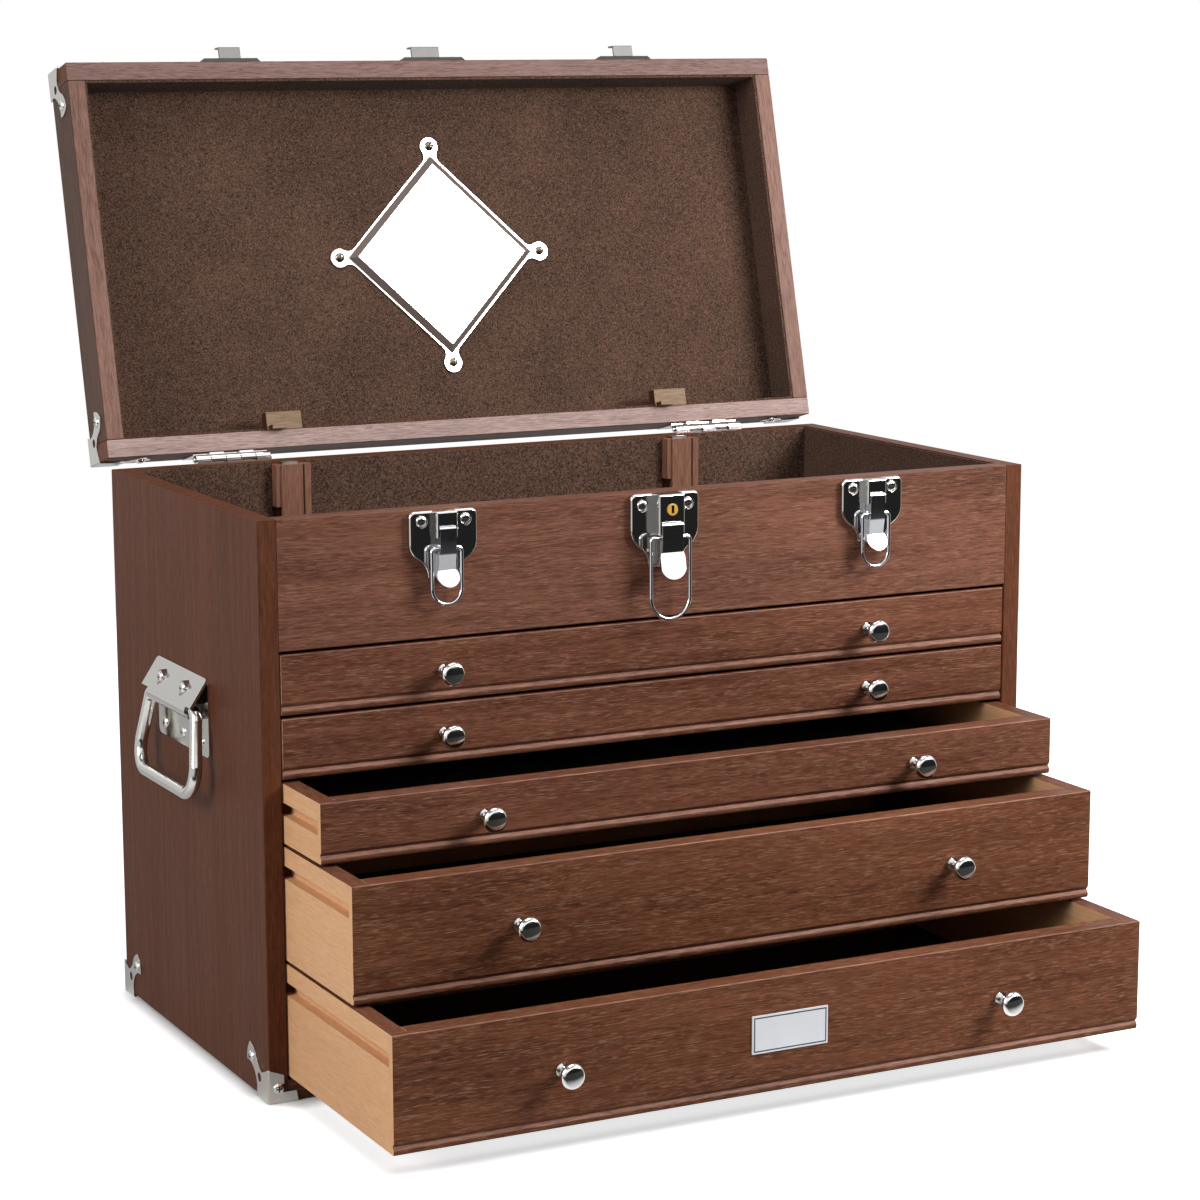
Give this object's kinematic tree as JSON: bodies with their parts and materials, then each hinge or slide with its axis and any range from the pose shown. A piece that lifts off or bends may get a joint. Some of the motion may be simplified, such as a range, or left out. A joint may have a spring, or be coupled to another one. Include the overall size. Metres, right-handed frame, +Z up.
{
  "type": "drawer tool chest",
  "caption": "Wooden tool chest with a felt-lined till under a hinged lid, drawers on side runners, draw latches, a lid-driven drawer lock and folding side handles.",
  "frame": {"origin": "middle of the case's footprint on the surface that it stands on, at the middle of its width and of its depth", "axes": "+Z up, -Y towards the drawer fronts, +X to the right as seen from the front"},
  "size_m": [0.5636, 0.536, 0.6165],
  "materials": {
    "brown_wood": "satin",
    "pale_wood": "satin",
    "panel_wood": "matte",
    "felt": "matte",
    "bright_nickel": "polished",
    "plated_wire": "polished",
    "bar_steel": "satin",
    "brass": "polished",
    "mirror": "polished"
  },
  "bodies": {
    "case": {"side_panel_left": "brown_wood", "side_panel_right": "brown_wood", "back_panel": "brown_wood", "front_rail": "brown_wood", "bottom_panel": "brown_wood", "drawer_runners": "brown_wood", "till_floor": "brown_wood", "till_lining": "felt", "lock_posts": "brown_wood", "hinge_case_leaves": "bright_nickel", "hinge_pins": "bright_nickel", "case_corner_guards": "bright_nickel", "latch_plate_left": "bright_nickel", "latch_plate_centre": "bright_nickel", "latch_plate_right": "bright_nickel", "handle_plates": "bright_nickel", "case_screws": "bright_nickel"},
    "lid": {"lid_front_wall": "brown_wood", "lid_back_wall": "brown_wood", "lid_side_walls": "brown_wood", "lid_top_panel": "brown_wood", "lid_lining": "felt", "mirror_glass": "mirror", "mirror_bezel": "bright_nickel", "lid_strikes": "bright_nickel", "lid_lock_blocks": "pale_wood", "lid_corner_guards": "bright_nickel", "hinge_lid_leaves": "bright_nickel", "lid_screws": "bright_nickel"},
    "drawer_1": {"drawer_1_front": "brown_wood", "drawer_1_box": "pale_wood", "drawer_1_bottom": "panel_wood", "drawer_1_knobs": "bright_nickel"},
    "drawer_2": {"drawer_2_front": "brown_wood", "drawer_2_box": "pale_wood", "drawer_2_bottom": "panel_wood", "drawer_2_knobs": "bright_nickel"},
    "drawer_3": {"drawer_3_front": "brown_wood", "drawer_3_box": "pale_wood", "drawer_3_bottom": "panel_wood", "drawer_3_knobs": "bright_nickel"},
    "drawer_4": {"drawer_4_front": "brown_wood", "drawer_4_box": "pale_wood", "drawer_4_bottom": "panel_wood", "drawer_4_knobs": "bright_nickel"},
    "drawer_5": {"drawer_5_front": "brown_wood", "drawer_5_box": "pale_wood", "drawer_5_bottom": "panel_wood", "drawer_5_knobs": "bright_nickel"},
    "lever_left": {"latch_lever_left": "bright_nickel"},
    "bail_left": {"latch_bail_left": "plated_wire"},
    "lever_centre": {"latch_lever_centre": "bright_nickel"},
    "bail_centre": {"latch_bail_centre": "plated_wire"},
    "lever_right": {"latch_lever_right": "bright_nickel"},
    "bail_right": {"latch_bail_right": "plated_wire"},
    "plug": {"lock_plug": "brass"},
    "bar_left": {"lock_bar_left": "bar_steel"},
    "handle_left": {"handle_bail_left": "plated_wire"},
    "bar_right": {"lock_bar_right": "bar_steel"},
    "handle_right": {"handle_bail_right": "plated_wire"}
  },
  "joints": [
    {"name": "lid_hinge", "type": "hinge", "parent": "case", "child": "lid", "pos_m": [0, 0.1348, 0.3503], "axis": [-1, 0, 0], "range_deg": [-104.2, 0]},
    {"name": "drawer_1_slide", "type": "slide", "parent": "case", "child": "drawer_1", "axis": [0, -1, 0], "range_m": [0, 0.2]},
    {"name": "drawer_2_slide", "type": "slide", "parent": "case", "child": "drawer_2", "axis": [0, -1, 0], "range_m": [0, 0.2]},
    {"name": "drawer_3_slide", "type": "slide", "parent": "case", "child": "drawer_3", "axis": [0, -1, 0], "range_m": [-0.0563, 0.1437]},
    {"name": "drawer_4_slide", "type": "slide", "parent": "case", "child": "drawer_4", "axis": [0, -1, 0], "range_m": [-0.1008, 0.0992]},
    {"name": "drawer_5_slide", "type": "slide", "parent": "case", "child": "drawer_5", "axis": [0, -1, 0], "range_m": [-0.1545, 0.0455]},
    {"name": "latch_lever_left_pivot", "type": "hinge", "parent": "case", "child": "lever_left", "pos_m": [-0.148, -0.1375, 0.3367], "axis": [1, 0, 0], "range_deg": [-88, 0]},
    {"name": "latch_bail_left_pivot", "type": "hinge", "parent": "lever_left", "child": "bail_left", "pos_m": [-0.148, -0.138, 0.3257], "axis": [-1, 0, 0], "range_deg": [0, 178]},
    {"name": "latch_lever_centre_pivot", "type": "hinge", "parent": "case", "child": "lever_centre", "pos_m": [0, -0.1406, 0.3287], "axis": [1, 0, 0], "range_deg": [-88, 0]},
    {"name": "latch_bail_centre_pivot", "type": "hinge", "parent": "lever_centre", "child": "bail_centre", "pos_m": [0, -0.1406, 0.3217], "axis": [-1, 0, 0], "range_deg": [0, 178]},
    {"name": "latch_lever_right_pivot", "type": "hinge", "parent": "case", "child": "lever_right", "pos_m": [0.148, -0.1375, 0.3367], "axis": [1, 0, 0], "range_deg": [-88, 0]},
    {"name": "latch_bail_right_pivot", "type": "hinge", "parent": "lever_right", "child": "bail_right", "pos_m": [0.148, -0.138, 0.3257], "axis": [-1, 0, 0], "range_deg": [0, 178]},
    {"name": "lock_plug_turn", "type": "hinge", "parent": "case", "child": "plug", "pos_m": [0, -0.143, 0.3389], "axis": [0, -1, 0], "range_deg": [0, 90]},
    {"name": "lock_bar_left_slide", "type": "slide", "parent": "case", "child": "bar_left", "axis": [0, 0, 1], "range_m": [-0.0062, 0]},
    {"name": "lock_bar_right_slide", "type": "slide", "parent": "case", "child": "bar_right", "axis": [0, 0, 1], "range_m": [-0.0062, 0]},
    {"name": "handle_left_pivot", "type": "hinge", "parent": "case", "child": "handle_left", "pos_m": [-0.271, 0, 0.2205], "axis": [0, 1, 0], "range_deg": [0, 70]},
    {"name": "handle_right_pivot", "type": "hinge", "parent": "case", "child": "handle_right", "pos_m": [0.271, 0, 0.2205], "axis": [0, -1, 0], "range_deg": [0, 70]}
  ],
  "couplings": [
    {"joint": "lock_bar_left_slide", "follows": "lid_hinge", "m_per_rad": 0.003299},
    {"joint": "lock_bar_right_slide", "follows": "lid_hinge", "m_per_rad": 0.003299}
  ]
}
